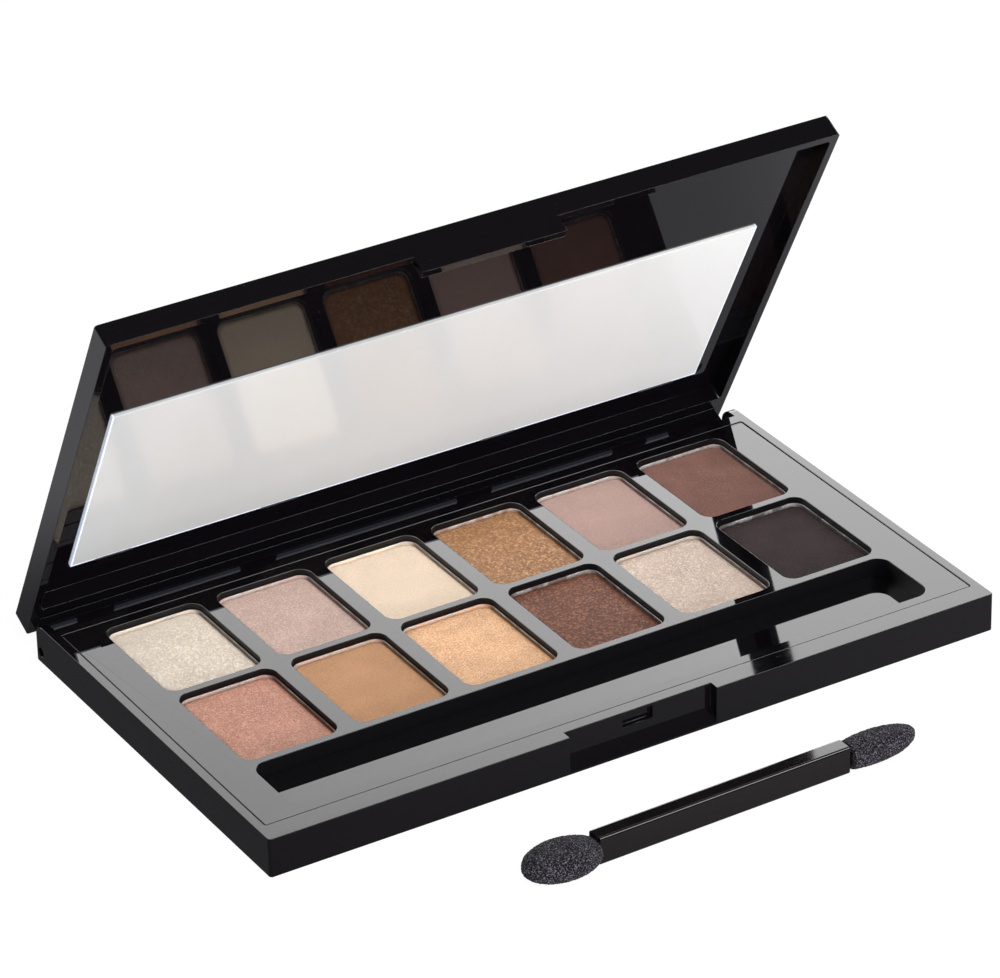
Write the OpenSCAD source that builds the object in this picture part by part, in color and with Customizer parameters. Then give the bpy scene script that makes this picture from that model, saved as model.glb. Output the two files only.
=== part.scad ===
// Pressed powder palette for the eyes: a flat hinged case with twelve powder pans, a mirror
// in the lid, a snap catch and a loose double ended sponge applicator.
// Millimetres. +X to the right, +Y to the hinge, +Z up. The origin is the centre of the
// base's underside. The lid is drawn shut and then turned about the hinge axis.

/* [Case] */
// Width of the case, left to right
case_w = 150; // [150:1:156]
// Depth of the case, front to back
case_d = 86.5; // [86.5:0.5:90]
// Height of the base, from the table to its rim
base_h = 7.6; // [7.6:0.1:9]
// Height of the lid, from its rim to its outer face
lid_h = 4.65; // [4.65:0.05:6]
// Gap between the two rims when the lid is shut
rim_gap = 0.15; // [0.1:0.05:0.3]
// Radius of the upright corners
corner_r = 0.6; // [0.4:0.1:2]

/* [Base] */
// Thickness of the floor
floor_t = 0.9; // [0.7:0.1:1]
// Thickness of the two side walls
side_wall = 1.8; // [1.6:0.1:2]
// Thickness of the front wall, which the catch is cut into
front_wall = 4.4; // [4:0.1:4.6]
// Distance from the back of the case to the tray's pocket
hinge_strip = 6.95; // [6.8:0.05:7.2]
// Radius that rounds the top of each hinge ear
ear_r = 3; // [2.4:0.1:3.4]

/* [Hinge] */
// Distance of the hinge axis from the back of the case, which is also the knuckle's radius
knuckle_r = 1.95; // [1.8:0.05:2]
// Height of the hinge axis above the table
hinge_z = 2.2; // [2.1:0.05:2.4]
// Radius of the two hinge pins
pin_r = 0.9; // [0.7:0.05:1]
// Length of a hinge pin
pin_l = 8; // [6:0.5:10]
// Depth of the pin's end below the side of the case
pin_sunk = 0.8; // [0.4:0.1:1]
// Radial clearance of the pins in the lid's bores
pin_play = 0.06; // [0.03:0.01:0.09]
// Angle that the lid is drawn open, from shut
lid_open = 62.2; // [0:0.1:90]

/* [Catch] */
// Width of the finger notch in the front wall
notch_w = 30.4; // [28:0.2:34]
// Depth of the finger notch
notch_d = 2; // [1.8:0.1:2.2]
// Height where the notch's upright wall meets its sloping ledge
ledge_z = 2.9; // [2.4:0.1:3.2]
// Drop of the lid's flap below the lid's rim
flap_drop = 3.5; // [3:0.1:3.8]
// Thickness of the flap
flap_t = 1.6; // [1.4:0.1:1.6]
// Width of the catch pocket and of the nib that snaps into it
catch_w = 6.2; // [5:0.2:8]

/* [Tray] */
// Depth of the tray's face below the base's rim
tray_drop = 0.1; // [0.05:0.05:0.2]
// Gap all round the tray
tray_gap = 0.15; // [0.1:0.05:0.25]
// Width of a pan window
window_w = 19.3; // [18.5:0.1:20]
// Depth of a pan window
window_d = 25.7; // [24.4:0.1:25.7]
// Corner radius of the windows
window_r = 2.5; // [1.8:0.1:3]
// Distance between pan centres, left to right
pitch_x = 22.6; // [22.5:0.05:23]
// Distance between pan centres, front to back
pitch_y = 27.35; // [27.3:0.05:27.5]
// Place of the line between the two rows of pans
rows_y = 7.4; // [7.2:0.05:7.4]
// Length of the applicator's well
well_w = 132.2; // [120:0.2:134]
// Width of the applicator's well
well_d = 15.7; // [14:0.1:16]
// Place of the well's middle line
well_y = -28.65; // [-28.85:0.05:-28.6]
// Depth of the applicator's well below the tray's face
well_depth = 3.65; // [3.5:0.05:4.5]
// Corner radius of the applicator's well
well_r = 2.9; // [2:0.1:4]

/* [Pans] */
// Height of a metal pan
pan_h = 3.4; // [3:0.1:3.6]
// Thickness of the pan's metal
pan_t = 0.3; // [0.2:0.05:0.5]
// Depth of the pan's rim below the tray's face
pan_drop = 1.05; // [0.9:0.05:1.4]
// Gap round a pan in its window
pan_gap = 0.15; // [0.1:0.05:0.3]

/* [Mirror] */
// Width of the mirror
mirror_w = 134.3; // [120:0.1:135]
// Depth of the mirror
mirror_d = 45.4; // [40:0.1:46]
// Place of the mirror's middle line with the lid shut
mirror_y = 6.8; // [5:0.1:7]
// Thickness of the glass
mirror_t = 0.9; // [0.8:0.1:1]

/* [Applicator] */
// Length of the handle
handle_l = 51.8; // [46:0.2:56]
// Thickness of the handle as it lies, front to back
handle_w = 3.6; // [3:0.1:4]
// Height of the handle as it lies
handle_h = 5.4; // [5:0.1:5.4]
// Thickness of both sponges
sponge_t = 5.5; // [5.4:0.1:6]
// Half the width of the broad sponge
broad_b = 5.15; // [4:0.05:5.5]
// Half the width of the slim sponge
slim_b = 3.35; // [3:0.05:4]
// Angle that the applicator is turned on the table
applicator_turn = 1; // [-5:0.5:5]

/* [Hidden] */
$fn = 48;
eps = 0.01;
past = 1;

// Base: limits of the tray's pocket and of the hinge channel behind it
front_y = -case_d / 2;
back_y = case_d / 2;
pocket_front = front_y + front_wall;
pocket_back = back_y - hinge_strip;
pocket_w = case_w - 2 * side_wall;
pocket_mid = (pocket_front + pocket_back) / 2;
hinge_y = back_y - knuckle_r;
channel_gap = 0.5;
channel_front = hinge_y - knuckle_r - channel_gap;
ear_gap = 0.3;

// Catch: the flap hangs from the lid's front wall, the nib stands on its inner face
notch_back = front_y + notch_d;
ledge_front_z = 0.5;
flap_w = notch_w - 0.9;
pocket_low = 4.6;
pocket_high = 7;
pocket_deep = 1;
nib_out = 0.22;
nib_low = 4.9;
nib_high = 6.4;

// Tray: a deck with a skirt, twelve pan wells and a well for the applicator
tray_w = pocket_w - 2 * tray_gap;
tray_d = pocket_back - pocket_front - 2 * tray_gap;
tray_r = 0.3;
tray_top = base_h - tray_drop;
deck_t = 1.3;
deck_low = tray_top - deck_t;
skirt_t = 1;
well_wall = 1;
well_floor_t = 1;
pan_floor_t = 0.8;
push_hole_r = 2;

// Pans and powders
pan_w = window_w - 2 * pan_gap;
pan_d = window_d - 2 * pan_gap;
pan_r = window_r - pan_gap;
pan_high = tray_top - pan_drop;
pan_low = pan_high - pan_h;
glue_t = 0.15;
glue_r = 2.6;
glue_y = 7;
powder_gap = 0.02;
powder_drop = 0.15;
powder_edge = 0.45;

// Lid, drawn shut
rim_z = base_h + rim_gap;
lid_top = rim_z + lid_h;
lid_rim = 1.6;
lid_recess = 3.3;
lid_panel_z = rim_z + lid_recess;
lid_inner_back = back_y - hinge_strip + 0.1;
tape_t = 0.15;
mirror_out = 0.5;
mirror_low = lid_panel_z - mirror_out;
mirror_gap = 0.25;
tape_inset = 2;
tab_w = 7.5;
tab_lip = 0.6;
tab_t = 0.9;
tab_rise = 0.35;
tabs_x = [-58.4, -24.2, 22.8, 57.8];

// Applicator: local X runs along the handle, local Z is up
applicator_at = [-0.4, -68.3, sponge_t / 2];
stem_w = 1.8;
stem_h = 1.6;
stem_l = 8;
neck_l = 0.7;
broad_a = 7.8;
broad_mid = handle_l / 2 + 6.5;
slim_a = 9.5;
slim_mid = handle_l / 2 + 5.5;
sponge_steps = 9;

case_black = [0.05, 0.045, 0.055];
pan_metal = [0.78, 0.77, 0.75];
foam_grey = [0.2, 0.19, 0.22];
back_shades = [
    [0.91, 0.86, 0.8], [0.83, 0.71, 0.67], [0.95, 0.86, 0.77],
    [0.74, 0.56, 0.42], [0.76, 0.64, 0.6], [0.52, 0.39, 0.35]
];
front_shades = [
    [0.79, 0.6, 0.53], [0.76, 0.58, 0.45], [0.94, 0.77, 0.61],
    [0.52, 0.37, 0.3], [0.86, 0.79, 0.73], [0.27, 0.24, 0.24]
];

// Shared shapes
module rounded_rect(w, d, r) {
    square([w - 2 * r, d], center = true);
    square([w, d - 2 * r], center = true);
    for (sx = [-1, 1], sy = [-1, 1])
        translate([sx * (w / 2 - r), sy * (d / 2 - r)]) circle(r);
}

module block(w, d, r, low, high) {
    translate([0, 0, low]) linear_extrude(high - low) rounded_rect(w, d, r);
}

module box(low, high) {
    translate(low) cube(high - low);
}

// Extrudes a shape drawn in the Y Z plane from x = from to x = to
module along_x(from, to) {
    translate([from, 0, 0]) rotate([90, 0, 90]) linear_extrude(to - from) children();
}

module rod_x(from, to, y, z, r) {
    along_x(from, to) translate([y, z]) circle(r);
}

module at_pan(column, row) {
    translate([(column - 2.5) * pitch_x, rows_y + (row - 0.5) * pitch_y, 0]) children();
}

module at_all_pans() {
    for (column = [0:5], row = [0:1]) at_pan(column, row) children();
}

// Base shell: floor, walls, finger notch and the two ears that carry the hinge pins
module finger_notch() {
    slope = (ledge_z - ledge_front_z) / notch_d;
    along_x(-notch_w / 2, notch_w / 2) polygon([
        [front_y - past, base_h + past], [notch_back, base_h + past], [notch_back, ledge_z],
        [front_y - past, ledge_front_z - slope * past]
    ]);
}

module ear_rounding() {
    mid = [back_y - ear_r, base_h - ear_r];
    along_x(-case_w / 2 - past, case_w / 2 + past) difference() {
        translate(mid) square([ear_r + past, ear_r + past]);
        translate(mid) circle(ear_r);
    }
}

module base_shell() {
    color(case_black) difference() {
        block(case_w, case_d, corner_r, 0, base_h);
        translate([0, pocket_mid, 0])
            block(pocket_w, pocket_back - pocket_front, tray_r + tray_gap, floor_t, base_h + past);
        box([-pocket_w / 2, channel_front, -past], [pocket_w / 2, back_y + past, base_h + past]);
        finger_notch();
        box([-catch_w / 2, notch_back - eps, pocket_low],
            [catch_w / 2, notch_back + pocket_deep, pocket_high]);
        ear_rounding();
        rod_x(-case_w / 2 - past, case_w / 2 + past, hinge_y, hinge_z, pin_r);
    }
}

// Pan tray: one moulding that stands on the base's floor
module pan_tray() {
    pan_well_low = pan_low - glue_t - pan_floor_t;
    well_low = tray_top - well_depth;
    color(case_black * 1.2) difference() {
        union() {
            translate([0, pocket_mid, 0]) {
                block(tray_w, tray_d, tray_r, deck_low, tray_top);
                difference() {
                    block(tray_w, tray_d, tray_r, floor_t, deck_low + eps);
                    block(tray_w - 2 * skirt_t, tray_d - 2 * skirt_t, tray_r, 0, base_h);
                }
            }
            at_all_pans()
                block(window_w + 2 * well_wall, window_d + 2 * well_wall, window_r,
                    pan_well_low, deck_low + eps);
            translate([0, well_y, 0])
                block(well_w + 2 * well_wall, well_d + 2 * well_wall, well_r,
                    well_low - well_floor_t, deck_low + eps);
        }
        at_all_pans() {
            block(window_w, window_d, window_r, pan_well_low + pan_floor_t, tray_top + past);
            cylinder(h = base_h, r = push_hole_r);
        }
        translate([0, well_y, 0]) block(well_w, well_d, well_r, well_low, tray_top + past);
    }
}

module pan_adhesive() {
    color("ivory") at_all_pans()
        for (side = [-1, 1])
            translate([0, side * glue_y, pan_low - glue_t]) cylinder(h = glue_t, r = glue_r);
}

// Metal pan and the powder pressed into it
module pan(column, row) {
    color(pan_metal) at_pan(column, row) difference() {
        block(pan_w, pan_d, pan_r, pan_low, pan_high);
        block(pan_w - 2 * pan_t, pan_d - 2 * pan_t, pan_r - pan_t, pan_low + pan_t, pan_high + past);
    }
}

module powder(column, row) {
    inset = pan_t + powder_gap;
    top = pan_high - powder_drop;
    color(row == 1 ? back_shades[column] : front_shades[column]) at_pan(column, row) {
        block(pan_w - 2 * inset, pan_d - 2 * inset, pan_r - inset, pan_low + pan_t, top - powder_edge);
        block(pan_w - 2 * (inset + powder_edge), pan_d - 2 * (inset + powder_edge),
            pan_r - inset, top - powder_edge - eps, top);
    }
}

module hinge_pin(side) {
    outer = case_w / 2 - pin_sunk;
    color("silver") rod_x(min(side * outer, side * (outer - pin_l)),
        max(side * outer, side * (outer - pin_l)), hinge_y, hinge_z, pin_r);
}

// Turns what is drawn shut to the angle that the lid stands at
module on_lid() {
    translate([0, hinge_y, hinge_z]) rotate([-lid_open, 0, 0])
        translate([0, -hinge_y, -hinge_z]) children();
}

// Lid shell: rim, panel, the spine that fills the space between the ears, flap and nib
module mirror_tab(x, y) {
    low = mirror_low - tab_rise;
    box([x - tab_w / 2, y, low], [x + tab_w / 2, y + tab_t, lid_panel_z + eps]);
    box([x - tab_w / 2, y - tab_lip, low], [x + tab_w / 2, y + eps, mirror_low - 0.05]);
}

module lid_spine() {
    half = pocket_w / 2 - ear_gap;
    box([-half, hinge_y - knuckle_r, hinge_z], [half, back_y, rim_z + eps]);
    rod_x(-half, half, hinge_y, hinge_z, knuckle_r);
}

module lid_shell() {
    inner_front = front_y + lid_rim;
    inner_d = lid_inner_back - inner_front;
    bore_end = case_w / 2 - pin_sunk - pin_l - 0.5;
    color(case_black) on_lid() difference() {
        union() {
            difference() {
                block(case_w, case_d, corner_r, rim_z, lid_top);
                translate([0, inner_front + inner_d / 2, 0])
                    block(case_w - 2 * lid_rim, inner_d, 0.8, rim_z - past, lid_panel_z);
                translate([0, mirror_y, 0])
                    box([-mirror_w / 2 - mirror_gap, -mirror_d / 2 - mirror_gap, rim_z],
                        [mirror_w / 2 + mirror_gap, mirror_d / 2 + mirror_gap, mirror_low + mirror_t + tape_t]);
            }
            lid_spine();
            box([-flap_w / 2, front_y, rim_z - flap_drop], [flap_w / 2, front_y + flap_t, rim_z + eps]);
            box([-catch_w / 2 + 0.5, front_y + flap_t - eps, nib_low],
                [catch_w / 2 - 0.5, front_y + flap_t + nib_out, nib_high]);
            for (x = tabs_x) mirror_tab(x, mirror_y + mirror_d / 2 + mirror_gap);
        }
        for (side = [-1, 1])
            rod_x(side < 0 ? -case_w / 2 : bore_end, side < 0 ? -bore_end : case_w / 2,
                hinge_y, hinge_z, pin_r + pin_play);
    }
}

module mirror_glass() {
    color("lightsteelblue") on_lid() translate([0, mirror_y, 0])
        box([-mirror_w / 2, -mirror_d / 2, mirror_low], [mirror_w / 2, mirror_d / 2, mirror_low + mirror_t]);
}

module mirror_tape() {
    half_w = mirror_w / 2 - tape_inset;
    half_d = mirror_d / 2 - tape_inset;
    color("beige") on_lid() translate([0, mirror_y, 0])
        box([-half_w, -half_d, mirror_low + mirror_t], [half_w, half_d, mirror_low + mirror_t + tape_t]);
}

// Applicator: a square bar with a flat stem at each end that the sponges are pushed onto
module at_applicator() {
    translate(applicator_at) rotate([0, 0, applicator_turn]) children();
}

module stem(from, to) {
    along_x(from, to) rounded_rect(stem_w, stem_h, 0.3);
}

module applicator_handle() {
    end = handle_l / 2;
    color(case_black) at_applicator() {
        along_x(-end, end) rounded_rect(handle_w, handle_h, 0.6);
        along_x(end - eps, end + neck_l) rounded_rect(handle_w - 0.6, stem_h + 1, 0.5);
        stem(-end - stem_l, -end + eps);
        stem(end, end + neck_l + stem_l);
    }
}

// Half outline of an oval of half length a and half width b, between x = from and x = a
function oval(a, b, from) = concat([[0, from]],
    [for (i = [0:sponge_steps]) let (x = from + (a - from) * sin(90 * i / sponge_steps))
        [b * sqrt(max(0, 1 - x * x / (a * a))), x]]);

// Oval foam tip along +X, flattened above and below
module foam(a, b, from) {
    intersection() {
        rotate([90, 0, 90]) rotate_extrude() polygon(oval(a, b, from));
        box([-2 * a, -b - past, -sponge_t / 2], [2 * a, b + past, sponge_t / 2]);
    }
}

module sponge_broad() {
    color(foam_grey) at_applicator() difference() {
        translate([-broad_mid, 0, 0]) rotate([0, 0, 180]) foam(broad_a, broad_b, handle_l / 2 - broad_mid);
        stem(-handle_l / 2 - stem_l, -handle_l / 2 + past);
    }
}

module sponge_slim() {
    start = handle_l / 2 + neck_l;
    color(foam_grey) at_applicator() difference() {
        translate([slim_mid, 0, 0]) foam(slim_a, slim_b, start - slim_mid);
        stem(start - past, start + stem_l);
    }
}

base_shell();
pan_tray();
for (i = [0:5]) {
    pan(i, 1);
    pan(i, 0);
    powder(i, 1);
    powder(i, 0);
}
pan_adhesive();
hinge_pin(-1);  // hinge_pin_left
hinge_pin(1);  // hinge_pin_right
lid_shell();
mirror_glass();  // mirror
mirror_tape();
applicator_handle();
sponge_broad();
sponge_slim();
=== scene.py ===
import math

import bmesh
import bpy
from mathutils import Matrix, Vector


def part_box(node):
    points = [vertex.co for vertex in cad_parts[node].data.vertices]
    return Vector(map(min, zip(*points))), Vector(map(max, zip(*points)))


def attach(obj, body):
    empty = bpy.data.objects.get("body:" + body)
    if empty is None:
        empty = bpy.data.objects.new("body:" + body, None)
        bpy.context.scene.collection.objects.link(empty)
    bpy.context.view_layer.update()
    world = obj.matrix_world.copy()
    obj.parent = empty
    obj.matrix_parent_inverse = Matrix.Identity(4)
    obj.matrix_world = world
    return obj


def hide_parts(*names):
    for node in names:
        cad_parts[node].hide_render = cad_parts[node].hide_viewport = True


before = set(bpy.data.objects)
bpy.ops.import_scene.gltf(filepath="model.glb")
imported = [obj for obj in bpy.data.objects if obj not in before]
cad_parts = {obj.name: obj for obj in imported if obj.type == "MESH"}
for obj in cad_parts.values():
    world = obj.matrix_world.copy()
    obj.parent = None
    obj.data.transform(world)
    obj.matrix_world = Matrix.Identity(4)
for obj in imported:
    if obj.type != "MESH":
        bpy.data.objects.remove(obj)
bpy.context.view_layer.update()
MM = 0.001

# --- Camera ----------------------------------------------------------------------------------
# A long lens looks down on the palette from its front left corner, turned a little about
# its own axis, so that the near edges stay almost parallel.
camera_place = Vector((-0.4332, -0.7249, 0.5028))
camera_azimuth = math.radians(-30.72)
camera_elevation = math.radians(29.13)
camera_roll = math.radians(-1.33)
lens_mm = 195.3

back = Vector((
    math.sin(camera_azimuth) * math.cos(camera_elevation),
    -math.cos(camera_azimuth) * math.cos(camera_elevation),
    math.sin(camera_elevation),
))
level = Vector((0, 0, 1)).cross(back).normalized()
upright = back.cross(level)
side = level * math.cos(camera_roll) + upright * math.sin(camera_roll)
up = upright * math.cos(camera_roll) - level * math.sin(camera_roll)
lens = bpy.data.cameras.new("camera")
lens.lens = lens_mm
lens.sensor_width = 36
lens.clip_start = 0.05
lens.clip_end = 50
camera = bpy.data.objects.new("camera", lens)
turn = Matrix((side, up, back)).transposed()
camera.matrix_world = Matrix.Translation(camera_place) @ turn.to_4x4()
bpy.context.scene.collection.objects.link(camera)
bpy.context.scene.camera = camera

# --- Table and studio light ------------------------------------------------------------------
# A white sweep that the camera sees as plain white. Gloss sees a painted shadow on it near the case,
# as black flags beside it would cast, and painted light that grows towards the right. Soft boxes stand
# behind, at the right and in front.
scene = bpy.context.scene
scene.view_settings.view_transform = "Standard"
scene.view_settings.look = "None"


def add_node(tree, kind, values=None, **settings):
    """A node with its settings made and its inputs set to numbers or linked to sockets."""
    made = tree.nodes.new(kind)
    for name, value in settings.items():
        setattr(made, name, value)
    for key, value in (values or {}).items():
        if isinstance(value, bpy.types.NodeSocket):
            tree.links.new(value, made.inputs[key])
        else:
            made.inputs[key].default_value = value
    return made


def math_node(tree, kind, *values, **settings):
    """The output of a sum, product or other plain operation on numbers or sockets."""
    made = add_node(tree, "ShaderNodeMath", dict(enumerate(values)), operation=kind, **settings)
    return made.outputs[0]


def remap(tree, value, old=(0, 1), new=(0, 1), **settings):
    """A value carried from one range to another and held inside it."""
    made = add_node(tree, "ShaderNodeMapRange",
                    {0: value, 1: old[0], 2: old[1], 3: new[0], 4: new[1]}, **settings)
    return made.outputs[0]


def new_material(name):
    """A material with an empty node tree and its output node."""
    material = bpy.data.materials.new(name)
    material.use_nodes = True
    material.node_tree.nodes.clear()
    output = add_node(material.node_tree, "ShaderNodeOutputMaterial")
    return material, material.node_tree, output


def flat_sheet(name, corners, material):
    """One square face between four corners."""
    mesh = bpy.data.meshes.new(name)
    mesh.from_pydata(corners, [], [(0, 1, 2, 3)])
    mesh.materials.append(material)
    sheet = bpy.data.objects.new(name, mesh)
    bpy.context.scene.collection.objects.link(sheet)
    return sheet


def table_white():
    """White to the camera. Gloss sees a painted shadow beside the case and painted light further off
    and towards the right.
    """
    material, tree, output = new_material("table_white")
    case_half = (0.075, 0.043, 1)
    light = add_node(tree, "ShaderNodeLightPath").outputs
    place = add_node(tree, "ShaderNodeNewGeometry").outputs["Position"]
    x = add_node(tree, "ShaderNodeSeparateXYZ", {0: place}).outputs["X"]
    # painted light and painted shadow for gloss rays: brighter towards the right, dark beside the case
    painted_light_rightward = remap(tree, x, (-0.09, 0.09), (0.12, 0.34))
    size = add_node(tree, "ShaderNodeVectorMath", {0: place}, operation="ABSOLUTE").outputs[0]
    beyond = add_node(tree, "ShaderNodeVectorMath", {0: size, 1: case_half},
                      operation="SUBTRACT").outputs[0]
    clear = add_node(tree, "ShaderNodeVectorMath", {0: beyond, 1: (0, 0, 0)},
                     operation="MAXIMUM").outputs[0]
    away = add_node(tree, "ShaderNodeVectorMath", {0: clear}, operation="LENGTH").outputs["Value"]
    painted_shadow_falloff = remap(tree, away, (0.012, 0.07), (0, 0.4), interpolation_type="SMOOTHSTEP")
    painted_gloss_brightness = math_node(tree, "ADD", painted_light_rightward, painted_shadow_falloff)
    seen = add_node(tree, "ShaderNodeEmission", {"Color": (1, 1, 1, 1), "Strength": 1.06})
    lit = add_node(tree, "ShaderNodeBsdfDiffuse", {"Color": (0.85, 0.85, 0.85, 1)})
    in_gloss = add_node(tree, "ShaderNodeEmission", {"Color": (0.97, 0.95, 1, 1), "Strength": painted_gloss_brightness})
    to_camera = add_node(tree, "ShaderNodeMixShader", {0: 0.1, 1: seen.outputs[0], 2: lit.outputs[0]})
    to_room = add_node(tree, "ShaderNodeMixShader",
                       {0: light["Is Glossy Ray"], 1: lit.outputs[0], 2: in_gloss.outputs[0]})
    both = add_node(tree, "ShaderNodeMixShader",
                    {0: light["Is Camera Ray"], 1: to_room.outputs[0], 2: to_camera.outputs[0]})
    tree.links.new(both.outputs[0], output.inputs["Surface"])
    return material


table_half = 3.0
table = flat_sheet("table", [(-table_half, -table_half, 0), (table_half, -table_half, 0),
                             (table_half, table_half, 0), (-table_half, table_half, 0)],
                   table_white())


def soft_box(name, middle, width, height, strength, aim=Vector((0, 0, 0)), gloss=True):
    """A rectangular lamp that faces the palette. Its strength is in watts."""
    lamp = bpy.data.lights.new(name, "AREA")
    lamp.shape = "RECTANGLE"
    lamp.size = width
    lamp.size_y = height
    lamp.energy = strength
    box = bpy.data.objects.new(name, lamp)
    box.location = middle
    box.rotation_euler = (aim - Vector(middle)).to_track_quat("-Z", "Y").to_euler()
    box.visible_camera = False
    box.visible_glossy = gloss
    bpy.context.scene.collection.objects.link(box)
    return box


def shade_lamp(lamp_object, across=(1, 1), upward=(1, 1)):
    """Lets a lamp's face change in brightness along its width and along its height."""
    lamp = lamp_object.data
    lamp.use_nodes = True
    tree = lamp.node_tree
    tree.nodes.clear()
    place = add_node(tree, "ShaderNodeNewGeometry").outputs["Parametric"]
    along = add_node(tree, "ShaderNodeSeparateXYZ", {0: place}).outputs
    wide = remap(tree, along[0], new=across)
    tall = remap(tree, along[1], new=upward)
    shaded = add_node(tree, "ShaderNodeEmission", {"Strength": math_node(tree, "MULTIPLY", wide, tall)})
    add_node(tree, "ShaderNodeOutputLight", {"Surface": shaded.outputs[0]})


back_box = soft_box("back_box", (0.30, 1.08, 0.62), 2.4, 0.95, 33)
back_box.visible_diffuse = False
shade_lamp(back_box, upward=(1.5, 0.5))
soft_box("right_box", (1.3, 0.25, 0.32), 0.5, 0.45, 4)
soft_box("key_box", (-0.45, -0.85, 1.05), 0.9, 0.9, 13, gloss=False)
soft_box("rim_box", (0.62, -0.65, 1.02), 0.5, 0.35, 5)
soft_box("low_card", (0.12, -0.95, 0.16), 1.1, 0.26, 9, gloss=False)

world = bpy.data.worlds.new("studio")
world.use_nodes = True
scene.world = world
sky = world.node_tree
sky.nodes.clear()
sky_path = add_node(sky, "ShaderNodeLightPath").outputs
room = add_node(sky, "ShaderNodeBackground", {"Color": (1, 1, 1, 1), "Strength": 0.06})
seen_sky = add_node(sky, "ShaderNodeBackground", {"Color": (1, 1, 1, 1), "Strength": 1.0})
sky_mix = add_node(sky, "ShaderNodeMixShader",
                   {0: sky_path["Is Camera Ray"], 1: room.outputs[0], 2: seen_sky.outputs[0]})
add_node(sky, "ShaderNodeOutputWorld", {"Surface": sky_mix.outputs[0]})

# --- Base shell ------------------------------------------------------------------------------
# One injection moulding in black gloss plastic: floor, walls, finger notch and two hinge
# ears. The tool leaves its edges crisp, broken by little more than a tenth of a millimetre.
base_edge = 0.13 * MM
case_black = (0.0032, 0.0026, 0.0036, 1)


def moulded_copy(node, name, edge, steps=3, above=-1.0, keep_under=False):
    """A CAD node's shape with its flats joined and its sharp edges above a height rounded.
    With keep_under, the faces that look down stay as they came."""
    weld = 0.002 * MM
    flat_angle = math.radians(0.6)
    sharp_angle = math.radians(32)
    shape = bmesh.new()
    shape.from_mesh(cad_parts[node].data)
    bmesh.ops.remove_doubles(shape, verts=shape.verts, dist=weld)
    inner = [e for e in shape.edges
             if not keep_under or all(f.normal.z > -0.5 for f in e.link_faces)]
    corners = [v for v in shape.verts
               if not keep_under or all(f.normal.z > -0.5 for f in v.link_faces)]
    bmesh.ops.dissolve_limit(shape, angle_limit=flat_angle, verts=corners, edges=inner)
    weight = shape.edges.layers.float.new("bevel_weight_edge")
    for line in shape.edges:
        high = min(v.co.z for v in line.verts) > above
        if line.calc_face_angle(0) > sharp_angle:
            line[weight] = 1 if high else 0
            line.smooth = high
    for face in shape.faces:
        face.smooth = True
    mesh = bpy.data.meshes.new(name)
    shape.to_mesh(mesh)
    shape.free()
    piece = bpy.data.objects.new(name, mesh)
    bpy.context.scene.collection.objects.link(piece)
    bevel = piece.modifiers.new("edges", "BEVEL")
    bevel.width = edge
    bevel.segments = steps
    bevel.limit_method = "WEIGHT"
    bevel.use_clamp_overlap = False
    normals = piece.modifiers.new("normals", "WEIGHTED_NORMAL")
    normals.keep_sharp = True
    return finished(piece)


def finished(piece):
    """Turns a piece's modifiers into its own plain mesh."""
    bpy.context.view_layer.update()
    depsgraph = bpy.context.evaluated_depsgraph_get()
    mesh = bpy.data.meshes.new_from_object(piece.evaluated_get(depsgraph), depsgraph=depsgraph)
    mesh.name = piece.name
    piece.modifiers.clear()
    piece.data = mesh
    return piece


def put(piece, body, node, material):
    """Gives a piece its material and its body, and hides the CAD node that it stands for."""
    piece.data.materials.clear()
    piece.data.materials.append(material)
    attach(piece, body)
    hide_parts(node)


def mixed_colour(tree, factor, first, second):
    """A colour between two others."""
    made = add_node(tree, "ShaderNodeMix", {"Factor": factor, "A": first, "B": second},
                    data_type="RGBA")
    return made.outputs["Result"]


def handling_marks_group():
    """Smears of handling, fine dust and the tool's orange peel on polished plastic."""
    group = bpy.data.node_groups.new("handling_marks", "ShaderNodeTree")
    for name, value in (("Smear", 0.05), ("Dust", 0.3), ("Peel", 0.5)):
        socket = group.interface.new_socket(name, in_out="INPUT", socket_type="NodeSocketFloat")
        socket.default_value = value
    for name in ("Roughness", "Speck", "Height"):
        group.interface.new_socket(name, in_out="OUTPUT", socket_type="NodeSocketFloat")
    given = add_node(group, "NodeGroupInput").outputs
    coords = add_node(group, "ShaderNodeTexCoord").outputs["Object"]
    wipes = add_node(group, "ShaderNodeTexNoise", {"Vector": coords, "Scale": 38, "Detail": 5,
                                                   "Roughness": 0.6, "Distortion": 1.2}).outputs[0]
    smears = math_node(group, "MULTIPLY", remap(group, wipes, (0.42, 0.75)), given["Smear"])
    cells = add_node(group, "ShaderNodeTexVoronoi", {"Vector": coords, "Scale": 900})
    speck = remap(group, cells.outputs["Distance"], (0.05, 0.12), (1, 0))
    patches = add_node(group, "ShaderNodeTexNoise", {"Vector": coords, "Scale": 160,
                                                     "Detail": 2}).outputs[0]
    dust = math_node(group, "MULTIPLY", speck, remap(group, patches, (0.58, 0.7)))
    dusty = math_node(group, "MULTIPLY", dust, given["Dust"])
    peel = add_node(group, "ShaderNodeTexNoise", {"Vector": coords, "Scale": 420,
                                                  "Detail": 2}).outputs[0]
    height = math_node(group, "ADD", dusty, math_node(group, "MULTIPLY", peel, given["Peel"]))
    add_node(group, "NodeGroupOutput", {"Roughness": math_node(group, "ADD", smears, dusty),
                                        "Speck": dusty, "Height": height})
    return group


handling_marks = handling_marks_group()


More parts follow.
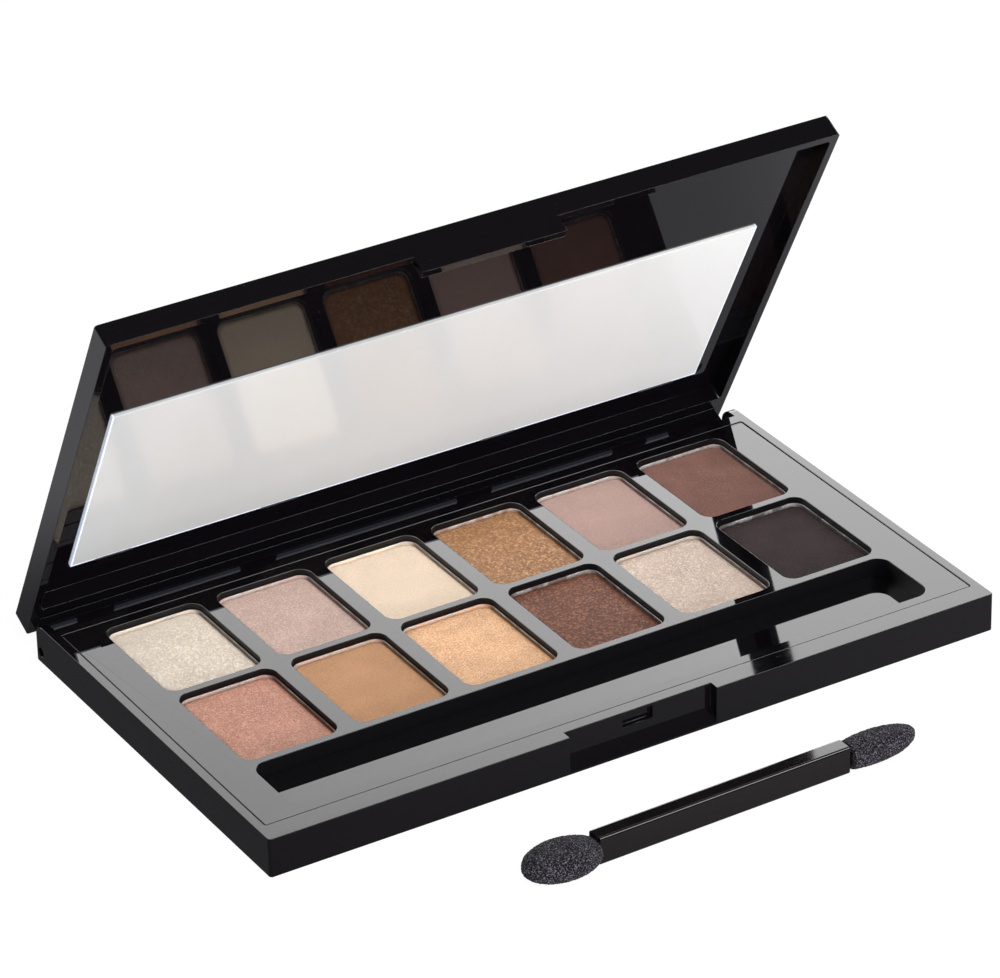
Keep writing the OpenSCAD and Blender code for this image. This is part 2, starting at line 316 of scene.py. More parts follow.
def gloss_black(name, colour, rough, smear, dust, peel, wall_rough=0.0):
    """Polished black moulding with smears, dust specks and a faint orange peel. Its upright
    walls can be rougher, where the tool was not polished."""
    material, tree, output = new_material(name)
    dust_grey = (0.09, 0.085, 0.08, 1)
    marks = add_node(tree, "ShaderNodeGroup", {"Smear": smear, "Dust": dust, "Peel": peel},
                     node_tree=handling_marks)
    tint = mixed_colour(tree, marks.outputs["Speck"], colour, dust_grey)
    facing = add_node(tree, "ShaderNodeTexCoord").outputs["Normal"]
    upward = add_node(tree, "ShaderNodeSeparateXYZ", {0: facing}).outputs["Z"]
    level = math_node(tree, "ABSOLUTE", upward)
    polish = remap(tree, level, (0.3, 0.6), (max(rough, wall_rough), rough))
    gloss = math_node(tree, "ADD", marks.outputs["Roughness"], polish, use_clamp=True)
    bump = add_node(tree, "ShaderNodeBump", {"Strength": 0.25, "Distance": 0.004 * MM,
                                             "Height": marks.outputs["Height"]})
    shader = add_node(tree, "ShaderNodeBsdfPrincipled",
                      {"Base Color": tint, "Roughness": gloss, "Normal": bump.outputs[0],
                       "IOR": 1.5})
    tree.links.new(shader.outputs[0], output.inputs["Surface"])
    return material


case_plastic = gloss_black("case_plastic", case_black, 0.03, 0.05, 0.35, 0.5)
base_shell = moulded_copy("base_shell", "base_shell_moulding", base_edge)
put(base_shell, "base", "base_shell", case_plastic)

# --- Lid shell -------------------------------------------------------------------------------
# The cover is one moulding in the same black gloss plastic, with a shallow recess for the
# mirror, small tabs that hold the glass, a finger flap and the spine that the hinge turns in.
lid_edge = 0.06 * MM
lid_black = (0.0034, 0.0028, 0.0038, 1)
lid_plastic = gloss_black("lid_plastic", lid_black, 0.015, 0.04, 0.3, 0.25)
lid_shell = moulded_copy("lid_shell", "lid_shell_moulding", lid_edge)
put(lid_shell, "lid", "lid_shell", lid_plastic)

# --- Mirror and its tape ---------------------------------------------------------------------
# Float glass, silvered on its back and ground round its edges, under a thin protective film. Its
# milky look is a painted reflection: a pale colour, brighter towards the right, under a faint clear
# coat. A thin sheet of foam tape holds it in the recess.
# painted reflection: the mirror's pale colour from its left side to its right side
painted_reflection_left = (0.645, 0.66, 0.67, 1)
painted_reflection_right = (0.86, 0.86, 0.86, 1)
# painted highlight: the pale colour of the band along the foot and the sides of the glass
painted_edge_highlight = (0.90, 0.93, 1.0, 1)
# painted glow: the colour that the edge band gives off
painted_edge_glow = (0.30, 0.34, 0.44, 1)
glass_bevel = 0.12 * MM


def mirror_painted_reflection(downward, foot, half_width):
    """Silvered glass under a film with faint streaks, its milky colour a painted reflection that
    brightens towards the right. A painted highlight lies as a pale line at the foot and the sides,
    where the ground edge is, and the same band carries a painted glow."""
    material, tree, output = new_material("mirror_painted_reflection")
    coords = add_node(tree, "ShaderNodeTexCoord").outputs["Object"]
    x = add_node(tree, "ShaderNodeSeparateXYZ", {0: coords}).outputs["X"]
    # painted reflection, brighter towards the right
    painted_reflection_ramp = math_node(tree, "POWER", remap(tree, x, (-0.065, 0.065)), 1.5)
    stretch = add_node(tree, "ShaderNodeMapping", {"Vector": coords, "Scale": (1, 0.25, 0.25)})
    streaks = add_node(tree, "ShaderNodeTexNoise", {"Vector": stretch.outputs[0], "Scale": 70,
                                                    "Detail": 3}).outputs[0]
    wave = remap(tree, streaks, (0.3, 0.7), (-0.06, 0.06))
    level = math_node(tree, "ADD", painted_reflection_ramp, wave, use_clamp=True)
    painted_reflection_tint = mixed_colour(tree, level, painted_reflection_left, painted_reflection_right)
    down = add_node(tree, "ShaderNodeVectorMath", {0: coords, 1: downward},
                    operation="DOT_PRODUCT").outputs["Value"]
    from_foot = math_node(tree, "SUBTRACT", foot, down)
    from_side = math_node(tree, "SUBTRACT", half_width, math_node(tree, "ABSOLUTE", x))
    from_edge = math_node(tree, "MINIMUM", from_foot, from_side)
    chips = add_node(tree, "ShaderNodeTexNoise", {"Vector": coords, "Scale": 700,
                                                  "Detail": 2}).outputs[0]
    ragged = math_node(tree, "MULTIPLY_ADD", chips, 0.25 * MM, from_edge)
    # painted highlight: a pale band along the foot and the sides of the glass
    painted_highlight_mask = remap(tree, ragged, (0.48 * MM, 0.36 * MM))
    highlighted_tint = mixed_colour(tree, painted_highlight_mask, painted_reflection_tint, painted_edge_highlight)
    # painted glow: the edge band gives off light, though it is no lamp
    painted_glow_tint = mixed_colour(tree, painted_highlight_mask, (0, 0, 0, 1), painted_edge_glow)
    marks = add_node(tree, "ShaderNodeGroup", {"Smear": 0.08, "Dust": 0.4, "Peel": 0.2},
                     node_tree=handling_marks)
    rough = math_node(tree, "ADD", marks.outputs["Roughness"], 0.16)
    bump = add_node(tree, "ShaderNodeBump", {"Strength": 0.15, "Distance": 0.003 * MM,
                                             "Height": marks.outputs["Height"]})
    shader = add_node(tree, "ShaderNodeBsdfPrincipled",
                      {"Base Color": highlighted_tint, "Roughness": rough, "Normal": bump.outputs[0],
                       "IOR": 1.5, "Metallic": 0.0, "Emission Color": painted_glow_tint,
                       "Emission Strength": 1.0, "Coat Weight": 0.6, "Coat Roughness": 0.01})
    tree.links.new(shader.outputs[0], output.inputs["Surface"])
    return material


mirror = moulded_copy("mirror", "mirror_glass", glass_bevel)
mirror_face = max((f for f in mirror.data.polygons if f.normal.y < 0), key=lambda f: f.area)
glass_low, glass_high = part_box("mirror")
glass_back = -mirror_face.normal.normalized()
glass_down = glass_back.cross(Vector((1, 0, 0))).normalized()
glass_foot = max(mirror.data.vertices[i].co.dot(glass_down) for i in mirror_face.vertices)
put(mirror, "lid", "mirror",
    mirror_painted_reflection(glass_down[:], glass_foot, (glass_high.x - glass_low.x) / 2))

# The light that the mirror throws back on the pans and the deck.
glow_height = 44.9 * MM
glow_gap = 0.25 * MM
glow_watts = 0.060
glow_lamp = bpy.data.lights.new("mirror_glow", "AREA")
glow_lamp.shape = "RECTANGLE"
glow_lamp.size = glass_high.x - glass_low.x
glow_lamp.size_y = glow_height
glow_lamp.energy = glow_watts
glow = bpy.data.objects.new("mirror_glow", glow_lamp)
glow_turn = Matrix((Vector((1, 0, 0)), glass_down, glass_back)).transposed().to_4x4()
glow_place = mirror_face.center - glass_back * glow_gap
glow.matrix_world = Matrix.Translation(glow_place) @ glow_turn
glow.visible_camera = False
glow.visible_diffuse = False
bpy.context.scene.collection.objects.link(glow)
shade_lamp(glow, across=(0.70, 1.15), upward=(0.85, 1.2))
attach(glow, "lid")


def dull_sheet(name, colour, fine):
    """A dull sheet material, mottled at one scale, for tape and set glue."""
    material, tree, output = new_material(name)
    coords = add_node(tree, "ShaderNodeTexCoord").outputs["Object"]
    mottle = add_node(tree, "ShaderNodeTexNoise", {"Vector": coords, "Scale": fine,
                                                   "Detail": 4}).outputs[0]
    dark = tuple(0.6 * c for c in colour[:3]) + (1,)
    tint = mixed_colour(tree, mottle, dark, colour)
    rough = remap(tree, mottle, new=(0.5, 0.8))
    bump = add_node(tree, "ShaderNodeBump", {"Strength": 0.4, "Distance": 0.02 * MM,
                                             "Height": mottle})
    shader = add_node(tree, "ShaderNodeBsdfPrincipled",
                      {"Base Color": tint, "Roughness": rough, "Normal": bump.outputs[0]})
    tree.links.new(shader.outputs[0], output.inputs["Surface"])
    return material


def finish_node(node, material):
    """Gives a CAD node that is already the right shape its material."""
    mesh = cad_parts[node].data
    mesh.materials.clear()
    mesh.materials.append(material)


finish_node("mirror_tape", dull_sheet("foam_tape", (0.75, 0.75, 0.72, 1), 2500))

# --- Hinge pins ------------------------------------------------------------------------------
# Two short pins cut from drawn steel wire, pressed in through the base's ears, with a small
# chamfer at each end.
pin_chamfer = 0.16 * MM


def drawn_steel():
    """Steel wire with the fine lines that the die draws along it."""
    material, tree, output = new_material("drawn_steel")
    steel_dark = (0.36, 0.36, 0.37, 1)
    steel_pale = (0.62, 0.61, 0.6, 1)
    coords = add_node(tree, "ShaderNodeTexCoord").outputs["Object"]
    along = add_node(tree, "ShaderNodeMapping", {"Vector": coords, "Scale": (0.06, 1, 1)})
    lines = add_node(tree, "ShaderNodeTexNoise", {"Vector": along.outputs[0], "Scale": 9000,
                                                  "Detail": 3}).outputs[0]
    tint = mixed_colour(tree, lines, steel_dark, steel_pale)
    rough = remap(tree, lines, new=(0.22, 0.42))
    bump = add_node(tree, "ShaderNodeBump", {"Strength": 0.2, "Distance": 0.004 * MM,
                                             "Height": lines})
    shader = add_node(tree, "ShaderNodeBsdfPrincipled",
                      {"Base Color": tint, "Roughness": rough, "Normal": bump.outputs[0],
                       "Metallic": 1.0})
    tree.links.new(shader.outputs[0], output.inputs["Surface"])
    return material


pin_steel = drawn_steel()
for node in ("hinge_pin_left", "hinge_pin_right"):
    pin = moulded_copy(node, node + "_wire", pin_chamfer, steps=2)
    put(pin, "base", node, pin_steel)

# --- Pan tray --------------------------------------------------------------------------------
# A second black moulding that stands on the base's floor, inside its walls: twelve wells for
# the pans and a long one for the applicator. Only its face is polished.
tray_edge = 0.13 * MM
tray_black = (0.0032, 0.0027, 0.0036, 1)
tray_plastic = gloss_black("tray_plastic", tray_black, 0.02, 0.04, 0.3, 0.6, wall_rough=0.5)
deck_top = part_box("pan_tray")[1].z
pan_tray = moulded_copy("pan_tray", "pan_tray_moulding", tray_edge, above=deck_top - 0.05 * MM,
                        keep_under=True)
put(pan_tray, "base", "pan_tray", tray_plastic)

# --- Pans and their glue ---------------------------------------------------------------------
# Twelve shallow pans pressed from thin tinned steel sheet. Powder dust clings to their walls.
# Each is held to the floor of its well by two dots of hot glue.
pan_edge = 0.09 * MM
shades = {
    "back_1": (0.675, 0.577, 0.471),
    "back_2": (0.497, 0.349, 0.295),
    "back_3": (0.837, 0.673, 0.52),
    "back_4": (0.271, 0.128, 0.056),
    "back_5": (0.448, 0.3, 0.262),
    "back_6": (0.197, 0.099, 0.078),
    "front_1": (0.48, 0.232, 0.162),
    "front_2": (0.559, 0.306, 0.167),
    "front_3": (0.691, 0.393, 0.214),
    "front_4": (0.1, 0.031, 0.015),
    "front_5": (0.556, 0.434, 0.354),
    "front_6": (0.034, 0.022, 0.023),
}


def scaled(tree, vector, factor):
    """A vector or a colour times a number."""
    made = add_node(tree, "ShaderNodeVectorMath", {0: vector, "Scale": factor}, operation="SCALE")
    return made.outputs[0]


def pan_metal(name, shade):
    """Tin plate with the pan's own powder dust in patches. Painted light makes the faces turned to
    the front, such as the back wall, brighter, and painted shade darkens the other walls and the rim."""
    material, tree, output = new_material(name)
    bare_tin = (0.85, 0.83, 0.8, 1)
    pale = tuple(0.85 * c + 0.08 for c in shade) + (1,)
    coords = add_node(tree, "ShaderNodeTexCoord").outputs["Object"]
    dust = add_node(tree, "ShaderNodeTexNoise", {"Vector": coords, "Scale": 420,
                                                 "Detail": 4}).outputs[0]
    dusty = remap(tree, dust, (0.40, 0.58), (0.25, 1.0))
    tint = mixed_colour(tree, dusty, bare_tin, pale)
    # painted light and shade: colour times 1.1 on faces turned to the front, times 0.3 on the rest
    facing = add_node(tree, "ShaderNodeTexCoord").outputs["Normal"]
    forward = add_node(tree, "ShaderNodeSeparateXYZ", {0: facing}).outputs["Y"]
    facing_painted_tint = scaled(tree, tint, remap(tree, forward, (-0.2, -0.8), (0.3, 1.1)))
    bare = remap(tree, dusty, new=(0.9, 0.05))
    rough = remap(tree, dusty, new=(0.28, 0.6))
    bump = add_node(tree, "ShaderNodeBump", {"Strength": 0.4, "Distance": 0.02 * MM,
                                             "Height": dusty})
    shader = add_node(tree, "ShaderNodeBsdfPrincipled",
                      {"Base Color": facing_painted_tint, "Roughness": rough, "Normal": bump.outputs[0],
                       "Metallic": bare})
    tree.links.new(shader.outputs[0], output.inputs["Surface"])
    return material


hot_glue = dull_sheet("hot_glue", (0.72, 0.66, 0.5, 1), 900)
finish_node("pan_adhesive", hot_glue)
for place, shade in shades.items():
    pan = moulded_copy("pan_" + place, "pan_" + place + "_pressing", pan_edge, steps=2)
    put(pan, "base", "pan_" + place, pan_metal("pan_metal_" + place, shade))

# --- Pressed powders -------------------------------------------------------------------------
# Powder and binder pressed into each pan by a padded die, so that the cake is softly crowned
# and its border is broken and a little low. Some shades are matte and some carry mica.


def pressed_cake_tree():
    """A cake with a rounded rectangular outline, a crown, a broken border and a fine grain."""
    crown_power = 2.6
    border_power = 1.7
    swell_height = 0.06 * MM
    tree = bpy.data.node_groups.new("pressed_cake", "GeometryNodeTree")
    kinds = (("Width", "Float"), ("Depth", "Float"), ("Corner", "Float"), ("Foot", "Float"),
             ("Top", "Float"), ("Crown", "Float"), ("Edge Drop", "Float"), ("Edge Width", "Float"),
             ("Grain", "Float"), ("Seed", "Float"), ("Middle", "Vector"), ("Material", "Material"))
    for name, kind in kinds:
        tree.interface.new_socket(name, in_out="INPUT", socket_type="NodeSocket" + kind)
    tree.interface.new_socket("Cake", in_out="OUTPUT", socket_type="NodeSocketGeometry")
    given = add_node(tree, "NodeGroupInput").outputs

    def maths(kind, *values, **settings):
        """A Math node of this tree."""
        return math_node(tree, kind, *values, **settings)

    def vectors(kind, *values, out=0):
        """A Vector Math node of this tree."""
        return add_node(tree, "ShaderNodeVectorMath", dict(enumerate(values)),
                        operation=kind).outputs[out]

    half_w = maths("MULTIPLY", given["Width"], 0.5)
    half_d = maths("MULTIPLY", given["Depth"], 0.5)
    half = add_node(tree, "ShaderNodeCombineXYZ", {0: half_w, 1: half_d, 2: 0.0}).outputs[0]
    corner = add_node(tree, "ShaderNodeCombineXYZ",
                      {0: given["Corner"], 1: given["Corner"], 2: 0.0}).outputs[0]
    core = vectors("SUBTRACT", half, corner)
    core_low = vectors("MULTIPLY", core, (-1, -1, -1))
    grid = add_node(tree, "GeometryNodeMeshGrid", {"Size X": 2, "Size Y": 2, "Vertices X": 97,
                                                   "Vertices Y": 127})
    place = add_node(tree, "GeometryNodeInputPosition").outputs[0]
    spread = vectors("MULTIPLY", place, half)
    inner = vectors("MAXIMUM", vectors("MINIMUM", spread, core), core_low)
    beyond = vectors("SUBTRACT", spread, inner)
    size = vectors("ABSOLUTE", beyond)
    sizes = add_node(tree, "ShaderNodeSeparateXYZ", {0: size}).outputs
    longest = maths("MAXIMUM", sizes[0], sizes[1])
    length = vectors("LENGTH", beyond, out="Value")
    outline = vectors("ADD", inner, scaled(tree, beyond, maths("DIVIDE", longest, length)))
    flat = add_node(tree, "GeometryNodeSetPosition", {"Geometry": grid.outputs["Mesh"],
                                                      "Position": outline})
    raised = add_node(tree, "GeometryNodeExtrudeMesh",
                      {"Mesh": flat.outputs[0], "Offset": (0, 0, 1), "Offset Scale": 0.001,
                       "Individual": False}, mode="FACES")
    under = add_node(tree, "GeometryNodeFlipFaces", {"Mesh": flat.outputs[0]})

    here = add_node(tree, "GeometryNodeInputPosition").outputs[0]
    at = add_node(tree, "ShaderNodeSeparateXYZ", {0: here}).outputs
    level = vectors("MULTIPLY", here, (1, 1, 0))
    outside = vectors("SUBTRACT", vectors("ABSOLUTE", level), core)
    outs = add_node(tree, "ShaderNodeSeparateXYZ", {0: outside}).outputs
    round_part = vectors("LENGTH", vectors("MAXIMUM", outside, (0, 0, 0)), out="Value")
    flat_part = maths("MINIMUM", maths("MAXIMUM", outs[0], outs[1]), 0.0)
    inset = maths("SUBTRACT", given["Corner"], maths("ADD", round_part, flat_part))
    ragged = add_node(tree, "ShaderNodeTexNoise", {"Vector": level, "W": given["Seed"],
                                                   "Scale": 520, "Detail": 3},
                      noise_dimensions="4D").outputs[0]
    width = maths("MULTIPLY", given["Edge Width"], maths("ADD", maths("MULTIPLY", ragged, 1.5), 0.25))
    near = maths("SUBTRACT", 1.0, maths("DIVIDE", inset, width), use_clamp=True)
    drop = maths("MULTIPLY", given["Edge Drop"], maths("POWER", near, border_power))

    def bulge(along, half_size):
        """One along the middle of the cake, falling to nothing at two opposite sides."""
        share = maths("ABSOLUTE", maths("DIVIDE", along, half_size))
        return maths("SUBTRACT", 1.0, maths("POWER", share, crown_power))

    full = maths("MULTIPLY", bulge(at[0], half_w), bulge(at[1], half_d))
    fall = maths("MULTIPLY", given["Crown"], maths("SUBTRACT", 1.0, full))
    fine = add_node(tree, "ShaderNodeTexNoise", {"Vector": level, "W": given["Seed"],
                                                 "Scale": 2600, "Detail": 2},
                    noise_dimensions="4D").outputs[0]
    coarse = add_node(tree, "ShaderNodeTexNoise", {"Vector": level, "W": given["Seed"],
                                                   "Scale": 210, "Detail": 2},
                      noise_dimensions="4D").outputs[0]
    grain = maths("MULTIPLY", maths("SUBTRACT", fine, 0.65), given["Grain"])
    swell = maths("MULTIPLY", maths("SUBTRACT", coarse, 0.6), swell_height)
    height = maths("ADD", maths("SUBTRACT", maths("SUBTRACT", given["Top"], fall), drop),
                   maths("ADD", grain, swell))

    # Only the raised face takes the crown, and its lower ring goes down to the foot.
    on_top = add_node(tree, "ShaderNodeCombineXYZ", {0: at[0], 1: at[1], 2: height}).outputs[0]
    crowned = add_node(tree, "GeometryNodeSetPosition",
                       {"Geometry": raised.outputs["Mesh"], "Selection": raised.outputs["Top"],
                        "Position": on_top})
    below = add_node(tree, "ShaderNodeCombineXYZ", {0: at[0], 1: at[1], 2: given["Foot"]}).outputs[0]
    footed = add_node(tree, "GeometryNodeSetPosition",
                      {"Geometry": under.outputs[0], "Position": below})
    is_low = add_node(tree, "FunctionNodeCompare", {0: at[2], 1: 1e-7}, data_type="FLOAT",
                      operation="LESS_THAN")
    low_ring = add_node(tree, "GeometryNodeSetPosition",
                        {"Geometry": crowned.outputs[0], "Selection": is_low.outputs[0],
                         "Position": below})
    join = add_node(tree, "GeometryNodeJoinGeometry")
    tree.links.new(low_ring.outputs[0], join.inputs[0])
    tree.links.new(footed.outputs[0], join.inputs[0])
    whole = add_node(tree, "GeometryNodeMergeByDistance", {"Geometry": join.outputs[0],
                                                           "Distance": 0.001 * MM})
    moved = add_node(tree, "GeometryNodeSetPosition", {"Geometry": whole.outputs[0],
                                                       "Offset": given["Middle"]})
    real = add_node(tree, "GeometryNodeRealizeInstances", {0: moved.outputs[0]})
    dressed = add_node(tree, "GeometryNodeSetMaterial", {"Geometry": real.outputs[0],
                                                         "Material": given["Material"]})
    add_node(tree, "NodeGroupOutput", {0: dressed.outputs[0]})
    return tree


def powder_grain_group():
    """The grain of pressed powder: broad mottling, a fine grain and scattered mica flecks."""
    group = bpy.data.node_groups.new("powder_grain", "ShaderNodeTree")
    for name, kind, value in (("Shade", "Color", (0.5, 0.4, 0.3, 1)), ("Mica", "Color", (1, 1, 1, 1)),
                              ("Amount", "Float", 0.3), ("Speck", "Float", 3200.0),
                              ("Contrast", "Float", 0.2)):
        socket = group.interface.new_socket(name, in_out="INPUT", socket_type="NodeSocket" + kind)
        socket.default_value = value
    for name, kind in (("Colour", "Color"), ("Shine", "Float"), ("Height", "Float")):
        group.interface.new_socket(name, in_out="OUTPUT", socket_type="NodeSocket" + kind)
    given = add_node(group, "NodeGroupInput").outputs
    coords = add_node(group, "ShaderNodeTexCoord").outputs["Object"]
    fine = add_node(group, "ShaderNodeTexNoise", {"Vector": coords, "Scale": given["Speck"],
                                                  "Detail": 3, "Roughness": 0.7}).outputs[0]
    broad = add_node(group, "ShaderNodeTexNoise", {"Vector": coords, "Scale": 160,
                                                   "Detail": 3}).outputs[0]
    cells = add_node(group, "ShaderNodeTexVoronoi", {"Vector": coords, "Scale": given["Speck"]})
    lot = add_node(group, "ShaderNodeSeparateColor", {0: cells.outputs["Color"]}).outputs
    shine = math_node(group, "MULTIPLY", remap(group, lot[0], (0.55, 1.0)), given["Amount"])
    grainy = remap(group, fine, (0.25, 0.75), (-1, 1))
    cloudy = remap(group, broad, (0.3, 0.7), (-0.25, 0.25))
    swing = math_node(group, "MULTIPLY", math_node(group, "ADD", grainy, cloudy), given["Contrast"])
    toned = scaled(group, given["Shade"], math_node(group, "ADD", swing, 1.0))
    colour = mixed_colour(group, shine, toned, given["Mica"])
    height = math_node(group, "ADD", shine, fine)
    add_node(group, "NodeGroupOutput", {"Colour": colour, "Shine": shine, "Height": height})
    return group


pressed_cake = pressed_cake_tree()
powder_grain = powder_grain_group()


def pressed_powder(name, shade, mica, amount, speck, contrast, rough):
    """Pressed powder. The more mica it has, the more it glints."""
    material, tree, output = new_material(name)
    grain = add_node(tree, "ShaderNodeGroup",
                     {"Shade": shade + (1,), "Mica": mica + (1,), "Amount": amount,
                      "Speck": speck, "Contrast": contrast}, node_tree=powder_grain)
    metal = math_node(tree, "MULTIPLY", grain.outputs["Shine"], 0.7)
    smooth = remap(tree, grain.outputs["Shine"], new=(rough, rough * 0.55))
    bump = add_node(tree, "ShaderNodeBump", {"Strength": 0.6, "Distance": 0.03 * MM,
                                             "Height": grain.outputs["Height"]})
    shader = add_node(tree, "ShaderNodeBsdfPrincipled",
                      {"Base Color": grain.outputs["Colour"], "Roughness": smooth,
                       "Normal": bump.outputs[0], "Metallic": metal, "Specular IOR Level": 0.1})
    tree.links.new(shader.outputs[0], output.inputs["Surface"])
    return material


def grown(name, tree, wanted):
    """A new piece made by a Geometry Nodes tree, its inputs given by name."""
    piece = bpy.data.objects.new(name, bpy.data.meshes.new(name))
    bpy.context.scene.collection.objects.link(piece)
    maker = piece.modifiers.new("maker", "NODES")
    maker.node_group = tree
    for item in tree.interface.items_tree:
        if item.in_out == "INPUT":
            maker[item.identifier] = wanted[item.name]
    return finished(piece)


# mica colour, amount of mica, fleck size, contrast and roughness of each shade
finishes = {
    "back_1": ((0.88, 0.83, 0.76), 0.35, 3400, 0.21, 0.55),
    "back_2": ((0.79, 0.65, 0.6), 0.25, 3500, 0.27, 0.6),
    "back_3": ((0.95, 0.87, 0.76), 0.02, 3800, 0.16, 0.9),
    "back_4": ((0.62, 0.39, 0.19), 0.38, 2800, 0.3, 0.48),
    "back_5": ((0.76, 0.63, 0.59), 0.06, 3800, 0.18, 0.85),
    "back_6": ((0.5, 0.31, 0.27), 0.03, 3700, 0.48, 0.9),
    "front_1": ((0.84, 0.53, 0.43), 0.28, 3200, 0.42, 0.55),
    "front_2": ((0.81, 0.55, 0.35), 0.02, 3800, 0.23, 0.9),
    "front_3": ((0.85, 0.64, 0.4), 0.32, 3200, 0.48, 0.52),
    "front_4": ((0.38, 0.15, 0.06), 0.36, 2800, 0.54, 0.52),
    "front_5": ((0.84, 0.74, 0.66), 0.32, 3200, 0.26, 0.55),
    "front_6": ((0.15, 0.11, 0.12), 0.03, 3500, 0.6, 0.85),
}
crown = 0.14 * MM
edge_drop = 0.42 * MM
edge_width = 0.95 * MM
cake_corner = 2.03 * MM
for number, (place, finish) in enumerate(finishes.items()):
    mica, amount, speck, contrast, rough = finish
    node = "powder_" + place
    low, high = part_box(node)
    stuff = pressed_powder(node, shades[place], mica, amount, speck, contrast, rough)
    cake = grown(node + "_cake", pressed_cake, {
        "Width": high.x - low.x, "Depth": high.y - low.y, "Corner": cake_corner,
        "Foot": low.z, "Top": high.z, "Crown": crown, "Edge Drop": edge_drop,
        "Edge Width": edge_width, "Grain": (0.012 + 0.05 * amount) * MM,
        "Seed": float(number), "Material": stuff,
        "Middle": ((low.x + high.x) / 2, (low.y + high.y) / 2, 0.0)})

    # The underside becomes one flat face again.
    shape = bmesh.new()
    shape.from_mesh(cake.data)
    bmesh.ops.dissolve_faces(shape, faces=[f for f in shape.faces if f.normal.z < -0.999])
    bmesh.ops.recalc_face_normals(shape, faces=shape.faces)
    for face in shape.faces:
        face.smooth = True
    shape.to_mesh(cake.data)
    shape.free()
    cake.data.set_sharp_from_angle(angle=math.radians(55))
    put(cake, "base", node, stuff)

# --- Applicator ------------------------------------------------------------------------------
# A moulded black bar with a stub at each end. Two sponges of fine charcoal foam, one broad
# and one slim, are pushed over the stubs and glued.
handle_edge = 0.12 * MM
handle_black = (0.0044, 0.0034, 0.0034, 1)
handle_plastic = gloss_black("handle_plastic", handle_black, 0.06, 0.05, 0.35, 0.4)
handle = moulded_copy("applicator_handle", "applicator_bar", handle_edge)
put(handle, "applicator", "applicator_handle", handle_plastic)
applicator_turn = math.radians(1)
foam_flatness = 2.5
pore_depth = 0.09 * MM


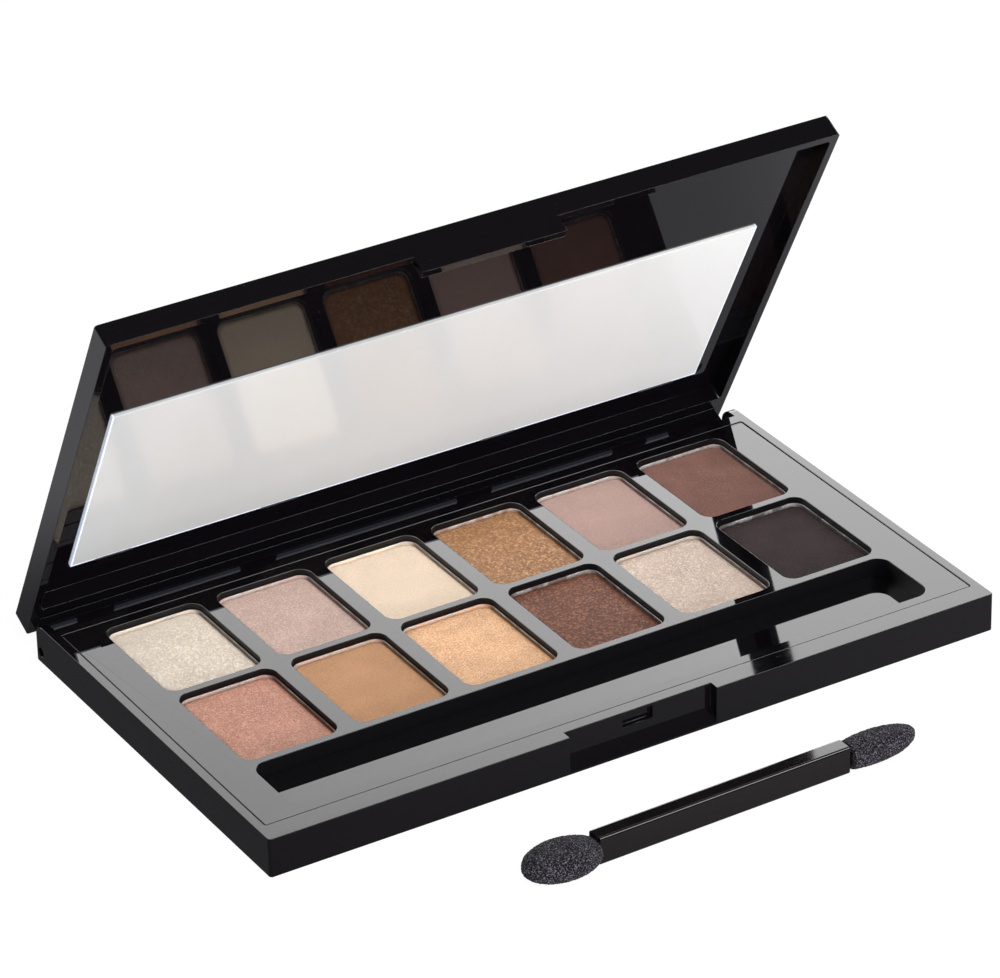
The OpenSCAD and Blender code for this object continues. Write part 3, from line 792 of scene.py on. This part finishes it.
def sponge_tree():
    """A flattened oval of foam, cut square at one end, with open pores all over."""
    tree = bpy.data.node_groups.new("foam_tip", "GeometryNodeTree")
    kinds = (("Middle", "Vector"), ("Half Size", "Vector"), ("Cut", "Float"), ("Side", "Float"),
             ("Turn", "Float"), ("Flatness", "Float"), ("Pore", "Float"), ("Material", "Material"))
    for name, kind in kinds:
        tree.interface.new_socket(name, in_out="INPUT", socket_type="NodeSocket" + kind)
    tree.interface.new_socket("Foam", in_out="OUTPUT", socket_type="NodeSocketGeometry")
    given = add_node(tree, "NodeGroupInput").outputs

    def maths(kind, *values, **settings):
        """A Math node of this tree."""
        return math_node(tree, kind, *values, **settings)

    ball = add_node(tree, "GeometryNodeMeshIcoSphere", {"Radius": 1.0, "Subdivisions": 7})
    place = add_node(tree, "GeometryNodeInputPosition").outputs[0]
    at = add_node(tree, "ShaderNodeSeparateXYZ", {0: place}).outputs
    plan = maths("SQRT", maths("ADD", maths("MULTIPLY", at[0], at[0]),
                               maths("MULTIPLY", at[1], at[1])))
    total = maths("ADD", maths("POWER", plan, given["Flatness"]),
                  maths("POWER", maths("ABSOLUTE", at[2]), given["Flatness"]))
    reach = maths("POWER", total, maths("DIVIDE", -1.0, given["Flatness"]))
    sized = add_node(tree, "ShaderNodeVectorMath",
                     {0: scaled(tree, place, reach), 1: given["Half Size"]},
                     operation="MULTIPLY").outputs[0]
    shaped = add_node(tree, "GeometryNodeSetPosition", {"Geometry": ball.outputs[0],
                                                        "Position": sized})
    here = add_node(tree, "GeometryNodeInputPosition").outputs[0]
    normal = add_node(tree, "GeometryNodeInputNormal").outputs[0]
    pores = add_node(tree, "ShaderNodeTexVoronoi", {"Vector": here, "Scale": 2300})
    open_pores = remap(tree, pores.outputs["Distance"], (0.1, 0.5))
    lumps = add_node(tree, "ShaderNodeTexNoise", {"Vector": here, "Scale": 480,
                                                  "Detail": 3}).outputs[0]
    depth = maths("MULTIPLY", maths("ADD", maths("MULTIPLY", open_pores, -1.0), lumps),
                  given["Pore"])
    push = scaled(tree, normal, maths("SUBTRACT", depth, given["Pore"]))
    porous = add_node(tree, "GeometryNodeSetPosition", {"Geometry": shaped.outputs[0],
                                                        "Offset": push})
    there = add_node(tree, "GeometryNodeInputPosition").outputs[0]
    now = add_node(tree, "ShaderNodeSeparateXYZ", {0: there}).outputs
    flipped = maths("MULTIPLY", now[0], given["Side"])
    kept = maths("MULTIPLY", maths("MINIMUM", flipped, given["Cut"]), given["Side"])
    cut_place = add_node(tree, "ShaderNodeCombineXYZ", {0: kept, 1: now[1], 2: now[2]}).outputs[0]
    cut = add_node(tree, "GeometryNodeSetPosition", {"Geometry": porous.outputs[0],
                                                     "Position": cut_place})
    angle = add_node(tree, "ShaderNodeCombineXYZ", {0: 0.0, 1: 0.0, 2: given["Turn"]}).outputs[0]
    turned = add_node(tree, "GeometryNodeTransform", {"Geometry": cut.outputs[0],
                                                      "Rotation": angle,
                                                      "Translation": given["Middle"]})
    real = add_node(tree, "GeometryNodeRealizeInstances", {0: turned.outputs[0]})
    dressed = add_node(tree, "GeometryNodeSetMaterial", {"Geometry": real.outputs[0],
                                                         "Material": given["Material"]})
    add_node(tree, "NodeGroupOutput", {0: dressed.outputs[0]})
    return tree


def charcoal_foam():
    """Fine open foam, charcoal, with pale struts between dark pores."""
    material, tree, output = new_material("charcoal_foam")
    pore_black = (0.005, 0.0045, 0.006, 1)
    strut_grey = (0.145, 0.133, 0.165, 1)
    coords = add_node(tree, "ShaderNodeTexCoord").outputs["Object"]
    pores = add_node(tree, "ShaderNodeTexVoronoi", {"Vector": coords, "Scale": 3600})
    struts = remap(tree, pores.outputs["Distance"], (0.2, 0.75))
    patch = add_node(tree, "ShaderNodeTexNoise", {"Vector": coords, "Scale": 3300, "Detail": 2,
                                                  "Roughness": 0.6}).outputs[0]
    pale = math_node(tree, "MULTIPLY", struts, remap(tree, patch, (0.46, 0.62)))
    bump = add_node(tree, "ShaderNodeBump", {"Strength": 0.8, "Distance": 0.12 * MM,
                                             "Height": pale})
    shader = add_node(tree, "ShaderNodeBsdfPrincipled",
                      {"Base Color": mixed_colour(tree, pale, pore_black, strut_grey),
                       "Roughness": remap(tree, pale, new=(0.95, 0.7)),
                       "Normal": bump.outputs[0], "Sheen Weight": 0.03, "Sheen Roughness": 0.6,
                       "Specular IOR Level": 0.2})
    tree.links.new(shader.outputs[0], output.inputs["Surface"])
    return material


foam_tip = sponge_tree()
foam = charcoal_foam()
# half length of each tip, and the side along X of its cut end
tips = {"sponge_broad": (7.8 * MM, 1.0), "sponge_slim": (9.5 * MM, -1.0)}
for node, (half_length, side_sign) in tips.items():
    low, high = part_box(node)
    middle_x = low.x + half_length if side_sign > 0 else high.x - half_length
    cut = (high.x - middle_x) if side_sign > 0 else (middle_x - low.x)
    tip = grown(node + "_foam", foam_tip, {
        "Middle": (middle_x, (low.y + high.y) / 2, (low.z + high.z) / 2),
        "Half Size": (half_length, (high.y - low.y) / 2, (high.z - low.z) / 2),
        "Cut": cut, "Side": side_sign, "Turn": applicator_turn, "Flatness": foam_flatness,
        "Pore": pore_depth, "Material": foam})
    for face in tip.data.polygons:
        face.use_smooth = True
    put(tip, "applicator", node, foam)
